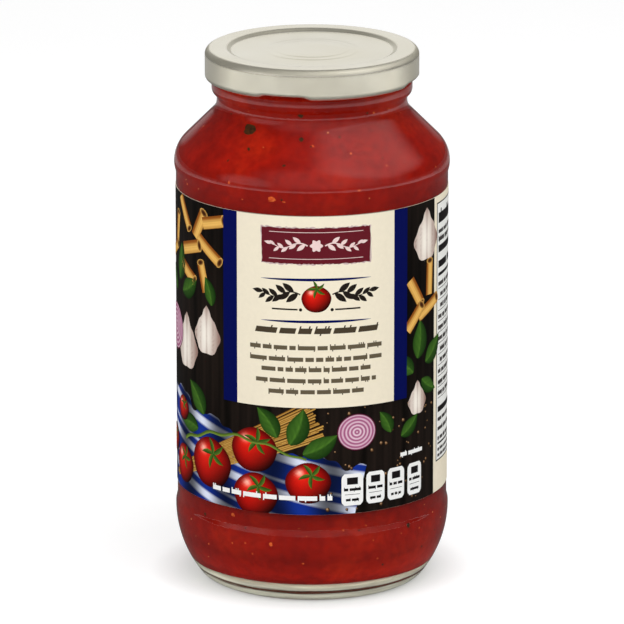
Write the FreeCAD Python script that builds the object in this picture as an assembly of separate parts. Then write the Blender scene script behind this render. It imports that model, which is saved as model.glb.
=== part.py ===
import FreeCAD
import Part

import math
import os

# Tomato sauce jar: a round glass jar with a rounded heel, a recessed label panel, 45 degree shoulders and
# a lug finish. It holds tomato sauce, wears a wrap-around paper label and is closed by a tinplate lug lid.
# It stands on the bottom centre of the jar, +Z up, with the middle of the label's front at -Y.
# All sizes are in millimetres.

# Driving sizes of the glass outside
BODY_RADIUS = 41.9           # at the two bulges, above and below the label panel
JAR_HEIGHT = 164.7           # glass alone, to the top of the rim
PANEL_RECESS = 0.51          # label panel below the bulges
PANEL_BOTTOM = 25.6
STEP_ARC = 6.4               # both arcs of the small step into the panel
SHOULDER_BULGE_RISE = 3.87   # from the panel's top to the start of the shoulder arc
SHOULDER_ARC = 9.4
HEEL_ARC = 33.0              # large arc from the lower bulge down to the foot
HEEL_BULGE_CENTRE = 21.85    # height where the heel arc is vertical
FOOT_CORNER = 3.5
FOOT_WIDTH = 2.35            # flat bearing ring
PUNT_DEPTH = 2.25            # hollow under the base
PUNT_FLAT_RADIUS = 3.0       # flat in the middle of the hollow

# Neck, transfer bead and finish
NECK_RADIUS = 28.9
NECK_FILLET = 4.7
NECK_LENGTH = 3.97           # from the shoulder cone's edge up to the bead
BEAD_OVERHANG = 1.57         # transfer bead beyond the neck
BEAD_ARC = 1.86
BEAD_LAND = 2.0
BEAD_CORNER = 0.5
BEAD_TOP_BELOW_RIM = 9.3
FINISH_WALL = 2.75
THREAD_HEIGHT = 1.6
THREAD_DEPTH = 1.0
THREAD_SWEEP = 46.0          # degrees of each glass thread
LUG_COUNT = 4
FIRST_LUG_ANGLE = -107.5     # degrees from +X, so that one lug shows left of the front

# Glass thickness
WALL = 2.65
BASE_THICKNESS = 3.2         # glass over the middle of the punt
INNER_HEEL_ARC = 12.7
INNER_NECK_FILLET = 5.9

# Sauce
SAUCE_BELOW_RIM = 6.85       # head space
SAUCE_GAP = 0.05             # clearance to the glass

# Label
LABEL_THICKNESS = 0.12
LABEL_GAP = 0.02             # clearance to the glass
LABEL_MARGIN_BOTTOM = 4.2    # panel left bare under the label
LABEL_MARGIN_TOP = 3.4
LABEL_LAP = 8.0              # overlap at the back

# Lid
LID_SHEET = 0.25
LID_RIM_CLEARANCE = 0.20     # lid above the glass rim
LID_BEAD_CLEARANCE = 0.45    # lid's lower edge above the bead
LID_THREAD_CLEARANCE = 0.43  # curl outside the glass threads
LID_CORNER = 2.0
CROWN_LAND = 6.1             # flat outer ring of the top
CROWN_SLOPE = 2.05           # radial length of the slope down to the panel
CROWN_DEPTH = 0.9
BUTTON_RADIUS = 11.0
BUTTON_SLOPE = 2.7
BUTTON_RISE = 0.25
CURL_DIAMETER = 2.15
CURL_END_ANGLE = -260        # degrees, where the rolled edge stops, from the outward side
LUG_WIDTH = 12.8
LUG_CLEARANCE = 0.3          # lug to the glass, both inwards and up to the thread

COS45 = math.sqrt(0.5)

# Heights and radii that follow from the driving sizes
PANEL_RADIUS = BODY_RADIUS - PANEL_RECESS
STEP_ANGLE = math.degrees(math.acos(1 - PANEL_RECESS / 2 / STEP_ARC))
STEP_RISE = 2 * STEP_ARC * math.sin(math.radians(STEP_ANGLE))
BEAD_RADIUS = NECK_RADIUS + BEAD_OVERHANG
BEAD_TOP = JAR_HEIGHT - BEAD_TOP_BELOW_RIM
BEAD_LAND_BOTTOM = BEAD_TOP - BEAD_CORNER - BEAD_LAND
BEAD_START_ANGLE = -math.degrees(math.acos(1 - BEAD_OVERHANG / BEAD_ARC))
BEAD_BOTTOM = BEAD_LAND_BOTTOM + BEAD_ARC * math.sin(math.radians(BEAD_START_ANGLE))
CONE_SUM = NECK_RADIUS + BEAD_BOTTOM - NECK_LENGTH
SHOULDER_START = CONE_SUM - (BODY_RADIUS - SHOULDER_ARC) - SHOULDER_ARC / COS45
PANEL_TOP = SHOULDER_START - SHOULDER_BULGE_RISE
RIM_ARC = FINISH_WALL / 2
INNER_NECK_RADIUS = NECK_RADIUS - FINISH_WALL
INNER_BODY_RADIUS = PANEL_RADIUS - WALL
INNER_FLOOR = PUNT_DEPTH + BASE_THICKNESS
LID_RADIUS = NECK_RADIUS + THREAD_DEPTH + LID_THREAD_CLEARANCE + CURL_DIAMETER
LID_BOTTOM = BEAD_TOP + LID_BEAD_CLEARANCE
LID_TOP = JAR_HEIGHT + LID_RIM_CLEARANCE + LID_SHEET
CROWN_INNER_RADIUS = LID_RADIUS - CROWN_LAND


def point(radius, height):
    return FreeCAD.Vector(radius, 0, height)


class Outline:
    """A profile in the XZ plane, drawn from point to point with straight lines and arcs."""

    def __init__(self, radius, height):
        self.start = point(radius, height)
        self.here = self.start
        self.edges = []

    def line(self, radius, height):
        there = point(radius, height)
        if (there - self.here).Length > 1e-6:
            self.edges.append(Part.LineSegment(self.here, there).toShape())
            self.here = there
        return self

    def arc(self, centre_radius, centre_height, radius, start_angle, end_angle):
        """An arc about a centre; angles are in degrees from the outward direction towards +Z."""
        def at(angle):
            turn = math.radians(angle)
            return point(centre_radius + radius * math.cos(turn), centre_height + radius * math.sin(turn))
        there = at(end_angle)
        self.edges.append(Part.Arc(self.here, at((start_angle + end_angle) / 2), there).toShape())
        self.here = there
        return self

    def revolve(self, degrees=360.0, start_degrees=0.0):
        self.line(self.start.x, self.start.z)
        face = Part.Face(Part.Wire(self.edges))
        axis = FreeCAD.Vector(0, 0, 1)
        face.rotate(FreeCAD.Vector(0, 0, 0), axis, start_degrees)
        return face.revolve(FreeCAD.Vector(0, 0, 0), axis, degrees)


def foot_corner():
    """Radius of the foot corner's centre, and the angle at which the corner meets the heel arc."""
    reach = HEEL_ARC - FOOT_CORNER
    angle = math.degrees(math.asin((HEEL_BULGE_CENTRE - FOOT_CORNER) / reach))
    return BODY_RADIUS - HEEL_ARC + reach * math.cos(math.radians(angle)), angle


FOOT_RADIUS, HEEL_END_ANGLE = foot_corner()
FOOT_INNER_RADIUS = FOOT_RADIUS - FOOT_WIDTH


def neck_fillet_centre(neck_radius, fillet, cone_sum):
    """Centre of the hollow arc between a 45 degree cone and a neck."""
    centre_radius = neck_radius + fillet
    return centre_radius, cone_sum - centre_radius + fillet / COS45


def draw_outside(outline):
    """The glass outside, from the foot's flat ring up to the rim."""
    outline.line(FOOT_RADIUS, 0)
    outline.arc(FOOT_RADIUS, FOOT_CORNER, FOOT_CORNER, -90, -HEEL_END_ANGLE)
    outline.arc(BODY_RADIUS - HEEL_ARC, HEEL_BULGE_CENTRE, HEEL_ARC, -HEEL_END_ANGLE, 0)
    step_low = PANEL_BOTTOM - STEP_RISE
    step_high = PANEL_TOP + STEP_RISE
    outline.line(BODY_RADIUS, step_low)
    outline.arc(BODY_RADIUS - STEP_ARC, step_low, STEP_ARC, 0, STEP_ANGLE)
    outline.arc(PANEL_RADIUS + STEP_ARC, PANEL_BOTTOM, STEP_ARC, 180 + STEP_ANGLE, 180)
    outline.line(PANEL_RADIUS, PANEL_TOP)
    outline.arc(PANEL_RADIUS + STEP_ARC, PANEL_TOP, STEP_ARC, 180, 180 - STEP_ANGLE)
    outline.arc(BODY_RADIUS - STEP_ARC, step_high, STEP_ARC, -STEP_ANGLE, 0)
    outline.line(BODY_RADIUS, SHOULDER_START)
    outline.arc(BODY_RADIUS - SHOULDER_ARC, SHOULDER_START, SHOULDER_ARC, 0, 45)
    centre_radius, centre_height = neck_fillet_centre(NECK_RADIUS, NECK_FILLET, CONE_SUM)
    outline.line(centre_radius - NECK_FILLET * COS45, centre_height - NECK_FILLET * COS45)
    outline.arc(centre_radius, centre_height, NECK_FILLET, 225, 180)
    outline.line(NECK_RADIUS, BEAD_BOTTOM)
    outline.arc(BEAD_RADIUS - BEAD_ARC, BEAD_LAND_BOTTOM, BEAD_ARC, BEAD_START_ANGLE, 0)
    outline.line(BEAD_RADIUS, BEAD_TOP - BEAD_CORNER)
    outline.arc(BEAD_RADIUS - BEAD_CORNER, BEAD_TOP - BEAD_CORNER, BEAD_CORNER, 0, 90)
    outline.line(NECK_RADIUS, BEAD_TOP)
    outline.line(NECK_RADIUS, JAR_HEIGHT - RIM_ARC)
    outline.arc(NECK_RADIUS - RIM_ARC, JAR_HEIGHT - RIM_ARC, RIM_ARC, 0, 180)


def draw_inside(outline, gap, top):
    """The glass inside, moved in by gap, from a height in the neck down to the middle of the floor."""
    neck = INNER_NECK_RADIUS - gap
    body = INNER_BODY_RADIUS - gap
    cone_sum = CONE_SUM - (WALL + gap) / COS45
    centre_radius, centre_height = neck_fillet_centre(neck, INNER_NECK_FILLET + gap, cone_sum)
    outline.line(neck, top)
    outline.line(neck, centre_height)
    outline.arc(centre_radius, centre_height, INNER_NECK_FILLET + gap, 180, 225)
    shoulder = SHOULDER_ARC - PANEL_RECESS - WALL - gap
    shoulder_centre = cone_sum - (body - shoulder) - shoulder / COS45
    outline.line(body - shoulder + shoulder * COS45, shoulder_centre + shoulder * COS45)
    outline.arc(body - shoulder, shoulder_centre, shoulder, 45, 0)
    heel = INNER_HEEL_ARC - gap
    floor = INNER_FLOOR + gap
    outline.line(body, floor + heel)
    outline.arc(body - heel, floor + heel, heel, 0, -90)
    outline.line(0, floor)


def draw_punt(outline):
    """The shallow dome under the base, from its flat middle out to the foot ring."""
    span = FOOT_INNER_RADIUS - PUNT_FLAT_RADIUS
    radius = (span ** 2 + PUNT_DEPTH ** 2) / (2 * PUNT_DEPTH)
    half = math.degrees(math.asin(span / radius))
    outline.line(0, PUNT_DEPTH)
    outline.line(PUNT_FLAT_RADIUS, PUNT_DEPTH)
    outline.arc(PUNT_FLAT_RADIUS, PUNT_DEPTH - radius, radius, 90, 90 - half)


def ring(inner, outer, low, high, degrees=360.0, start_degrees=0.0):
    """A ring, or part of one, of rectangular section."""
    section = Outline(inner, low).line(outer, low).line(outer, high).line(inner, high)
    return section.revolve(degrees, start_degrees)


def lug_angles():
    return [FIRST_LUG_ANGLE + n * 360.0 / LUG_COUNT for n in range(LUG_COUNT)]


def thread(angle):
    """One raised glass thread with a rounded crest; a lug of the lid grips under it."""
    low = LID_BOTTOM + CURL_DIAMETER + LUG_CLEARANCE
    root = NECK_RADIUS - THREAD_DEPTH
    crest = THREAD_HEIGHT / 2
    outline = Outline(root, low)
    outline.line(NECK_RADIUS + THREAD_DEPTH - crest, low)
    outline.arc(NECK_RADIUS + THREAD_DEPTH - crest, low + crest, crest, -90, 90)
    outline.line(root, low + THREAD_HEIGHT)
    return outline.revolve(THREAD_SWEEP, angle - THREAD_SWEEP / 2)


def jar():
    outline = Outline(FOOT_INNER_RADIUS, 0)
    draw_outside(outline)
    draw_inside(outline, 0, JAR_HEIGHT - RIM_ARC)
    draw_punt(outline)
    glass = outline.revolve()
    for angle in lug_angles():
        glass = glass.fuse(thread(angle))
    return glass


def sauce():
    level = JAR_HEIGHT - SAUCE_BELOW_RIM
    outline = Outline(0, level)
    draw_inside(outline, SAUCE_GAP, level)
    return outline.revolve()


def label():
    """The paper wrapped round the panel, two layers thick where its ends overlap at the back."""
    inner = PANEL_RADIUS + LABEL_GAP
    low = PANEL_BOTTOM + LABEL_MARGIN_BOTTOM
    high = PANEL_TOP - LABEL_MARGIN_TOP
    lap = math.degrees(LABEL_LAP / inner)
    sheet = ring(inner, inner + LABEL_THICKNESS, low, high, 360.0 - lap, 90 + lap / 2)
    return sheet.fuse(ring(inner, inner + 2 * LABEL_THICKNESS, low, high, lap, 90 - lap / 2))


def top_points(height):
    """Corners of the pressed top, from the axis to the crown's edge, for a crown at that height."""
    panel = height - CROWN_DEPTH
    return [
        (0, panel + BUTTON_RISE),
        (BUTTON_RADIUS, panel + BUTTON_RISE),
        (BUTTON_RADIUS + BUTTON_SLOPE, panel),
        (CROWN_INNER_RADIUS - CROWN_SLOPE, panel),
        (CROWN_INNER_RADIUS, height),
        (LID_RADIUS - LID_CORNER, height),
    ]


def lid_shell():
    """The pressed sheet: top, corner, skirt, and the lower edge rolled inwards into a curl."""
    curl = CURL_DIAMETER / 2
    curl_radius = LID_RADIUS - curl
    curl_height = LID_BOTTOM + curl
    outline = Outline(0, LID_TOP - CROWN_DEPTH + BUTTON_RISE)
    for radius, height in top_points(LID_TOP):
        outline.line(radius, height)
    outline.arc(LID_RADIUS - LID_CORNER, LID_TOP - LID_CORNER, LID_CORNER, 90, 0)
    outline.line(LID_RADIUS, curl_height)
    outline.arc(curl_radius, curl_height, curl, 0, CURL_END_ANGLE)
    roll = math.radians(CURL_END_ANGLE)
    inner = curl - LID_SHEET
    outline.line(curl_radius + inner * math.cos(roll), curl_height + inner * math.sin(roll))
    outline.arc(curl_radius, curl_height, inner, CURL_END_ANGLE, 0)
    outline.line(LID_RADIUS - LID_SHEET, LID_TOP - LID_CORNER)
    outline.arc(LID_RADIUS - LID_CORNER, LID_TOP - LID_CORNER, LID_CORNER - LID_SHEET, 0, 90)
    for radius, height in reversed(top_points(LID_TOP - LID_SHEET)):
        outline.line(radius, height)
    return outline.revolve()


def lug(angle):
    """A tongue pressed inwards from the curl, that grips under a glass thread."""
    root = LID_RADIUS - CURL_DIAMETER / 2
    sweep = math.degrees(LUG_WIDTH / root)
    high = LID_BOTTOM + CURL_DIAMETER
    return ring(NECK_RADIUS + LUG_CLEARANCE, root, high - CURL_DIAMETER / 2, high, sweep, angle - sweep / 2)


def lid():
    shell = lid_shell()
    for angle in lug_angles():
        shell = shell.fuse(lug(angle))
    return shell


def main():
    os.makedirs("parts", exist_ok=True)
    for make in (jar, sauce, label, lid):
        shape = make()
        if not shape.isValid() or len(shape.Solids) != 1:
            raise ValueError(f"{make.__name__} is not one valid solid")
        shape.exportStep(f"parts/{make.__name__}.step")
        print(make.__name__, "volume in cm3:", round(shape.Volume / 1000, 2))
    print("sauce level:", round(JAR_HEIGHT - SAUCE_BELOW_RIM, 2), "lid:", round(LID_BOTTOM, 2), round(LID_TOP, 2))
    print("panel:", round(PANEL_BOTTOM, 2), round(PANEL_TOP, 2), "shoulder start:", round(SHOULDER_START, 2))


main()
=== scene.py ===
"""Looks of the filled tomato sauce jar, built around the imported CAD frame.

Shapes are in millimetres; the camera, the lamps and what goes into nodes are in metres."""

import math
import random

import bmesh
import bpy
import numpy as np
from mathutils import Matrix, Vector


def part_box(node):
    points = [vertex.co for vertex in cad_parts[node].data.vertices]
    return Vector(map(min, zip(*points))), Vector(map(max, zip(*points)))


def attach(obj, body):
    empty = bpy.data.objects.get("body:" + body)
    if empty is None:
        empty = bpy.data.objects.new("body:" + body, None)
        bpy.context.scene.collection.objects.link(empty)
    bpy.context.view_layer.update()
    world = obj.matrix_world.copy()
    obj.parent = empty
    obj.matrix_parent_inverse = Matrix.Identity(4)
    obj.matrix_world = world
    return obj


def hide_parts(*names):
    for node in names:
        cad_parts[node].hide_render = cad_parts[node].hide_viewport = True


MM = 0.001
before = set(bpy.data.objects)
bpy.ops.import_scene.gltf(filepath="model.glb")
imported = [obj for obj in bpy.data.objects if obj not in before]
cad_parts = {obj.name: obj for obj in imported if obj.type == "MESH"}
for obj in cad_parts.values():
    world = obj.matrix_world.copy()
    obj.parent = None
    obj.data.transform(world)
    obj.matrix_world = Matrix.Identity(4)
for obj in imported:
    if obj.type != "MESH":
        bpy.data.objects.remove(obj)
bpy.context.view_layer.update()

# --- Sizes, in millimetres, taken from the frame or repeated from the CAD model ---


def box_mm(node):
    low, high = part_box(node)
    return [v / MM for v in low], [v / MM for v in high]


JAR_HEIGHT = box_mm("jar")[1][2]
SAUCE_LEVEL = box_mm("sauce")[1][2]
LID_BOTTOM, LID_TOP = (corner[2] for corner in box_mm("lid"))
LABEL_BOTTOM, LABEL_TOP = (corner[2] for corner in box_mm("label"))
LABEL_HEIGHT = LABEL_TOP - LABEL_BOTTOM

BODY_RADIUS = 41.9
PANEL_RADIUS = 41.39
PAPER = 0.12
LABEL_GAP = 0.02  # between the paper and the glass
LABEL_RADIUS = PANEL_RADIUS + (LABEL_GAP + PAPER)
PANEL_BOTTOM = 25.6
STEP_ARC = 6.4
SHOULDER_ARC = 9.4
SHOULDER_BULGE_RISE = 3.87  # from the panel's top to the start of the shoulder arc
HEEL_ARC = 33.0
HEEL_BULGE_CENTRE = 21.85
FOOT_CORNER = 3.5
FOOT_WIDTH = 2.35
PUNT_DEPTH = 2.25
PUNT_FLAT_RADIUS = 3.0
NECK_RADIUS = 28.9
NECK_FILLET = 4.7
NECK_LENGTH = 3.97  # from the shoulder cone's edge up to the bead
BEAD_RADIUS = 30.47
BEAD_ARC = 1.86
BEAD_TOP = 155.4
BEAD_LAND_BOTTOM = 152.9
BEAD_EDGE = 0.5
FINISH_WALL = 2.75
WALL = 2.65
INNER_FLOOR = 5.45
INNER_HEEL_ARC = 12.7
INNER_NECK_FILLET = 5.9
COS45 = math.sqrt(0.5)
BEAD_START_ANGLE = -math.degrees(math.acos(1 - (BEAD_RADIUS - NECK_RADIUS) / BEAD_ARC))
BEAD_BOTTOM = BEAD_LAND_BOTTOM + BEAD_ARC * math.sin(math.radians(BEAD_START_ANGLE))
CONE_SUM = NECK_RADIUS + BEAD_BOTTOM - NECK_LENGTH
SHOULDER_START = CONE_SUM - (BODY_RADIUS - SHOULDER_ARC) - SHOULDER_ARC / COS45
PANEL_TOP = SHOULDER_START - SHOULDER_BULGE_RISE
STEP_ANGLE = math.degrees(math.acos(1 - (BODY_RADIUS - PANEL_RADIUS) / 2 / STEP_ARC))
STEP_RISE = 2 * STEP_ARC * math.sin(math.radians(STEP_ANGLE))


class Profile:
    """A lathe outline as a list of (radius, height) points in millimetres."""

    def __init__(self, radius, height, step=1.2):
        self.points = [(radius, height)]
        self.step = step

    def line(self, radius, height):
        r0, h0 = self.points[-1]
        count = max(1, math.ceil(math.hypot(radius - r0, height - h0) / self.step / 2))
        for i in range(1, count + 1):
            self.points.append((r0 + (radius - r0) * i / count, h0 + (height - h0) * i / count))

    def arc(self, centre_radius, centre_height, radius, start, end, least=4):
        count = max(least, math.ceil(abs(end - start) / 180 * math.pi * radius / self.step))
        for i in range(count + 1):
            turn = math.radians(start + (end - start) * i / count)
            p = (centre_radius + radius * math.cos(turn), centre_height + radius * math.sin(turn))
            if math.dist(p, self.points[-1]) > 0.01:
                self.points.append(p)


def neck_fillet_centre(neck_radius, fillet, cone_sum):
    centre_radius = neck_radius + fillet
    return centre_radius, cone_sum - centre_radius + fillet / COS45


def glass_profile():
    """The whole outline of the glass, from the middle of the punt, up the outside and down the inside."""
    reach = HEEL_ARC - FOOT_CORNER
    heel_end = math.degrees(math.asin((HEEL_BULGE_CENTRE - FOOT_CORNER) / reach))
    foot_radius = BODY_RADIUS - HEEL_ARC + reach * math.cos(math.radians(heel_end))
    foot_inner = foot_radius - FOOT_WIDTH
    p = Profile(0, PUNT_DEPTH)
    span = foot_inner - PUNT_FLAT_RADIUS
    dome = (span ** 2 + PUNT_DEPTH ** 2) / (2 * PUNT_DEPTH)
    half = math.degrees(math.asin(span / dome))
    p.line(PUNT_FLAT_RADIUS, PUNT_DEPTH)
    p.arc(PUNT_FLAT_RADIUS, PUNT_DEPTH - dome, dome, 90, 90 - half)
    for i in range(1, 7):
        p.points.append((foot_inner + FOOT_WIDTH * i / 6, 0))
    p.arc(foot_radius, FOOT_CORNER, FOOT_CORNER, -90, -heel_end, 8)
    p.arc(BODY_RADIUS - HEEL_ARC, HEEL_BULGE_CENTRE, HEEL_ARC, -heel_end, 0)
    step_low, step_high = PANEL_BOTTOM - STEP_RISE, PANEL_TOP + STEP_RISE
    p.line(BODY_RADIUS, step_low)
    p.arc(BODY_RADIUS - STEP_ARC, step_low, STEP_ARC, 0, STEP_ANGLE)
    p.arc(PANEL_RADIUS + STEP_ARC, PANEL_BOTTOM, STEP_ARC, 180 + STEP_ANGLE, 180)
    p.line(PANEL_RADIUS, PANEL_TOP)
    p.arc(PANEL_RADIUS + STEP_ARC, PANEL_TOP, STEP_ARC, 180, 180 - STEP_ANGLE)
    p.arc(BODY_RADIUS - STEP_ARC, step_high, STEP_ARC, -STEP_ANGLE, 0)
    p.line(BODY_RADIUS, SHOULDER_START)
    p.arc(BODY_RADIUS - SHOULDER_ARC, SHOULDER_START, SHOULDER_ARC, 0, 45, 8)
    centre_radius, centre_height = neck_fillet_centre(NECK_RADIUS, NECK_FILLET, CONE_SUM)
    p.line(centre_radius - NECK_FILLET * COS45, centre_height - NECK_FILLET * COS45)
    p.arc(centre_radius, centre_height, NECK_FILLET, 225, 180)
    p.line(NECK_RADIUS, BEAD_BOTTOM - 0.25)
    p.line(NECK_RADIUS + 0.07, BEAD_BOTTOM)
    p.arc(BEAD_RADIUS - BEAD_ARC, BEAD_LAND_BOTTOM, BEAD_ARC, BEAD_START_ANGLE + 4, 0, 8)
    p.line(BEAD_RADIUS, BEAD_TOP - BEAD_EDGE)
    p.arc(BEAD_RADIUS - BEAD_EDGE, BEAD_TOP - BEAD_EDGE, BEAD_EDGE, 0, 90, 5)
    p.line(NECK_RADIUS, BEAD_TOP)
    rim = FINISH_WALL / 2
    p.line(NECK_RADIUS, JAR_HEIGHT - rim)
    p.arc(NECK_RADIUS - rim, JAR_HEIGHT - rim, rim, 0, 180, 10)
    return inner_profile(p, 0, JAR_HEIGHT - rim).points


def inner_profile(p, grow, top):
    """The inside of the glass, moved outwards by grow, from a height in the neck down to the axis."""
    neck = NECK_RADIUS - FINISH_WALL + grow
    body = PANEL_RADIUS - WALL + grow
    cone_sum = CONE_SUM - (WALL - grow) / COS45
    fillet = INNER_NECK_FILLET - grow
    centre_radius, centre_height = neck_fillet_centre(neck, fillet, cone_sum)
    p.line(neck, top)
    p.line(neck, centre_height)
    p.arc(centre_radius, centre_height, fillet, 180, 225)
    shoulder = SHOULDER_ARC - (BODY_RADIUS - PANEL_RADIUS) - WALL + grow
    shoulder_centre = cone_sum - (body - shoulder) - shoulder / COS45
    p.line(body - shoulder + shoulder * COS45, shoulder_centre + shoulder * COS45)
    p.arc(body - shoulder, shoulder_centre, shoulder, 45, 0)
    heel, floor = INNER_HEEL_ARC + grow, INNER_FLOOR - grow
    p.line(body, floor + heel)
    p.arc(body - heel, floor + heel, heel, 0, -90, 14)
    p.line(0, floor)
    return p


# --- Mesh and material helpers ---


def add_object(name, data, place=(0, 0, 0), aim=None):
    """Puts an object into the scene; a camera or lamp also gets a point to look at."""
    obj = bpy.data.objects.new(name, data)
    bpy.context.scene.collection.objects.link(obj)
    if aim:
        obj.location = place
        obj.rotation_euler = (Vector(aim) - Vector(place)).to_track_quat("-Z", "Y").to_euler()
    return obj


def add_mesh(name, vertices, faces, material, smooth=True, colours=None):
    """A mesh object from coordinates in millimetres; colours, one for each vertex, go in as 'ink'."""
    mesh = bpy.data.meshes.new(name)
    mesh.from_pydata([tuple(c * MM for c in v) for v in vertices], [], faces)
    mesh.polygons.foreach_set("use_smooth", [smooth] * len(mesh.polygons))
    if colours is not None:
        ink = mesh.color_attributes.new("ink", "FLOAT_COLOR", "POINT")
        ink.data.foreach_set("color", np.array(colours, np.float32).ravel())
    mesh.materials.append(material)
    mesh.update()
    return add_object(name, mesh)


def round_point(r, a, z):
    return r * math.cos(a), r * math.sin(a), z


def lathe(name, points, segments, material, shift=None):
    """Turns a profile round the Z axis. A point on the axis is one vertex. shift(r, z, a) moves a point."""
    vertices, rings, faces = [], [], []
    for r, z in points:
        if r < 1e-6:
            rings.append([len(vertices)] * segments)
            vertices.append((0, 0, z))
            continue
        rings.append(list(range(len(vertices), len(vertices) + segments)))
        for k in range(segments):
            a = 2 * math.pi * k / segments
            rr, zz = shift(r, z, a) if shift else (r, z)
            vertices.append(round_point(rr, a, zz))
    for low, high in zip(rings, rings[1:]):
        for k in range(segments):
            j = (k + 1) % segments
            face = list(dict.fromkeys((low[k], low[j], high[j], high[k])))
            if len(face) > 2:
                faces.append(face)
    return add_mesh(name, vertices, faces, material)


def linear(rgb):
    """A colour in sRGB as linear RGBA. Its parts are held between 0 and 255."""
    out = []
    for c in rgb:
        c = min(255, max(0, c)) / 255
        out.append(c / 12.92 if c <= 0.04045 else ((c + 0.055) / 1.055) ** 2.4)
    return (*out, 1.0)


def tone(a, b, f):
    """A colour between two sRGB colours, as linear RGBA."""
    f = min(1, max(0, f))
    return linear([x + (y - x) * f for x, y in zip(a, b)])


def level(value):
    """A grey with this linear value."""
    return (value, value, value, 1)


class Nodes:
    """A node tree with short ways to add to it."""

    def __init__(self, tree):
        self.tree = tree

    def put(self, socket, value):
        """Links a socket to another one, or gives it a constant."""
        if isinstance(value, bpy.types.NodeSocket):
            self.tree.links.new(value, socket)
        else:
            socket.default_value = value

    def node(self, kind, inputs=None, **settings):
        made = self.tree.nodes.new("ShaderNode" + kind)
        for key, value in settings.items():
            setattr(made, key, value)
        for key, value in (inputs or {}).items():
            self.put(made.inputs[key], value)
        return made

    def fit(self, value, start, end, low=0.0, high=1.0, **settings):
        """low at start, high at end, even between them and held beyond them."""
        inputs = {"Value": value, "From Min": start, "From Max": end, "To Min": low, "To Max": high}
        return self.node("MapRange", inputs, **settings).outputs["Result"]

    def math(self, operation, *values):
        return self.node("Math", dict(enumerate(values)), operation=operation).outputs[0]


class Material(Nodes):
    """A material with a Principled shader and the nodes behind it."""

    def __init__(self, name):
        self.material = bpy.data.materials.new(name)
        self.material.use_nodes = True
        super().__init__(self.material.node_tree)
        self.shader = self.tree.nodes["Principled BSDF"]

    def set(self, **values):
        for key, value in values.items():
            self.put(self.shader.inputs[key.replace("_", " ").title().replace("Ior", "IOR")], value)

    def place(self):
        return self.node("TexCoord").outputs["Object"]

    def part(self, vector, axis):
        return self.node("SeparateXYZ", {0: vector}).outputs[axis]

    def noise(self, scale, detail=3.0, roughness=0.55, vector=None, stretch=None):
        vector = vector or self.place()
        if stretch:
            vector = self.node("Mapping", {"Vector": vector, "Scale": stretch}).outputs["Vector"]
        inputs = {"Vector": vector, "Scale": scale, "Detail": detail, "Roughness": roughness}
        return self.node("TexNoise", inputs).outputs["Fac"]

    def ramp(self, factor, stops):
        node = self.node("ValToRGB", {"Fac": factor})
        elements = node.color_ramp.elements
        while len(elements) < len(stops):
            elements.new(0.5)
        for element, (place, colour) in zip(elements, stops):
            element.position = place
            element.color = colour
        return node.outputs["Color"]

    def cloud(self, scale, dark, light, edge=0.3):
        """A noise between two sRGB colours. A higher edge makes it harder."""
        return self.ramp(self.noise(scale), [(edge, linear(dark)), (1 - edge, linear(light))])

    def grey(self, factor, low, high):
        return self.ramp(factor, [(0.3, level(low)), (0.7, level(high))])

    def mix(self, kind, factor, a, b):
        return self.node("Mix", {0: factor, 6: a, 7: b}, data_type="RGBA", blend_type=kind).outputs[2]

    def bump(self, height, strength, distance):
        node = self.node("Bump", {"Height": height, "Strength": strength, "Distance": distance})
        self.put(self.shader.inputs["Normal"], node.outputs["Normal"])


def glass_material():
    """Clear glass, a little wavy, that lets the lamps' light through to the sauce."""
    m = Material("clear_glass")
    m.set(base_color=linear((247, 250, 246)), roughness=0.0, ior=1.5)
    m.set(transmission_weight=1.0, specular_ior_level=0.4)
    m.bump(m.noise(28, 2, 0.5, stretch=(1, 1, 0.35)), 0.12, 0.0006)
    path = m.node("LightPath")
    clear = m.node("BsdfTransparent", {"Color": (0.93, 0.95, 0.93, 1)})
    mix = m.node("MixShader", {0: path.outputs["Is Shadow Ray"], 1: m.shader.outputs[0], 2: clear.outputs[0]})
    m.put(m.tree.nodes["Material Output"].inputs["Surface"], mix.outputs[0])
    return m.material


PAINTED_LIGHT_LOW, PAINTED_LIGHT_TOP = 5.0, 14.0  # mm up, where painted light makes the sauce's colour paler towards the floor of the jar


def sauce_material():
    """Cloudy red with fine pulp, with painted light: its colour is made paler at the very bottom, standing in
    for the light the glass gathers there.
    """
    m = Material("tomato_sauce")
    cloud = m.noise(38, 4, 0.6)
    pulp = m.noise(420, 3, 0.6)
    reds = [(0.3, linear((112, 8, 1))), (0.52, linear((132, 14, 2))), (0.72, linear((152, 27, 4)))]
    base = m.ramp(cloud, reds)
    fine = m.ramp(pulp, [(0.35, (0.80, 0.76, 0.72, 1)), (0.62, (1.12, 1.2, 1.25, 1))])
    colour = m.mix("MULTIPLY", 0.8, base, fine)
    # Painted light: near the floor of the jar the colour is multiplied up to about 2.6 times, so that it
    # looks lit.
    painted_light = m.fit(m.part(m.place(), "Z"), PAINTED_LIGHT_LOW * MM, PAINTED_LIGHT_TOP * MM, 1.0, 0.0)
    colour = m.mix("MULTIPLY", painted_light, colour, (2.6, 2.4, 2.2, 1))
    m.set(base_color=colour, roughness=0.6, specular_ior_level=0.03)
    m.bump(pulp, 0.25, 0.0004)
    return m.material


# Roughness of the tinplate by how far the surface faces up: the skirt, the rounded edges, the flat top.
TINPLATE_ROUGHNESS = ((0.0, 0.24), (0.15, 0.26), (0.4, 0.5), (0.88, 0.5), (0.985, 0.20))


def metal_material():
    m = Material("lid_tinplate")
    lacquer = m.cloud(45, (238, 232, 211), (244, 239, 221))
    upward = m.part(m.node("TexCoord").outputs["Normal"], "Z")
    satin = m.ramp(upward, [(place, level(value)) for place, value in TINPLATE_ROUGHNESS])
    rough = m.math("MULTIPLY", satin, m.grey(m.noise(160, 2), 0.95, 1.1))
    m.set(base_color=lacquer, metallic=0.85, roughness=rough)
    m.bump(m.noise(300, 2), 0.015, 0.0001)
    return m.material


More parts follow.
